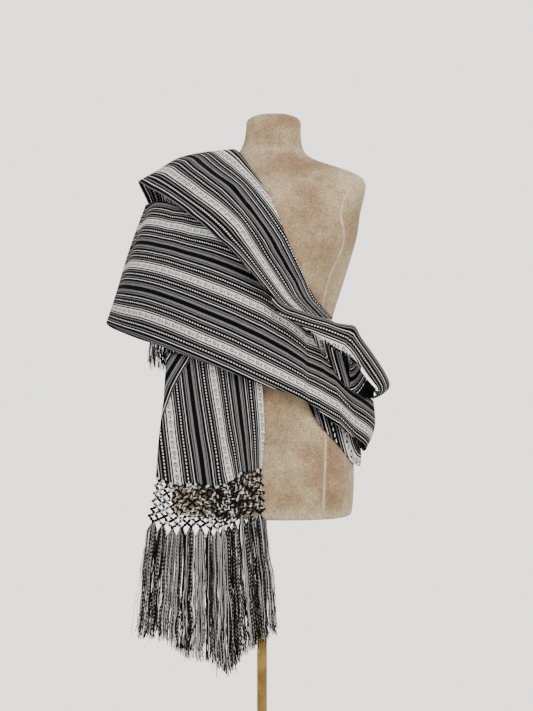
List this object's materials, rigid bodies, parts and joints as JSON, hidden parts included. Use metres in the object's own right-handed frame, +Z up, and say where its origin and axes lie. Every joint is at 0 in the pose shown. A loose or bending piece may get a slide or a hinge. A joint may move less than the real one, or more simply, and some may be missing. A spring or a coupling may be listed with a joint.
{
  "type": "rebozo shawl on a dress form",
  "caption": "Striped woven rebozo shawl with knotted nets and long fringes, wound over one shoulder of a limbless dress form on a pole stand.",
  "frame": {"origin": "centre of the round base's flat underside", "axes": "+Z up along the pole, -Y the way the dress form faces, +X the form's own left, at the viewer's right"},
  "size_m": [0.552, 0.3514, 1.5],
  "materials": {
    "shawl_cloth": "black and white warp-striped cotton",
    "fringe_cord": "twisted cotton thread, black and white",
    "form_cover": "mottled natural linen",
    "pole": "lacquered",
    "base": "black enamel"
  },
  "bodies": {
    "root": {"dress_form": "form_cover", "stand_pole": "pole", "stand_base": "base", "hanging_end": "shawl_cloth", "hanging_flap": "shawl_cloth", "hip_underlayer": "shawl_cloth", "lower_wrap_back": "shawl_cloth", "lower_wrap_front": "shawl_cloth", "back_band": "shawl_cloth", "front_band": "shawl_cloth", "cowl_pocket": "shawl_cloth", "hip_cowl": "shawl_cloth", "net_front": "fringe_cord", "fringe_front": "fringe_cord", "net_back": "fringe_cord", "fringe_back": "fringe_cord"}
  },
  "joints": []
}
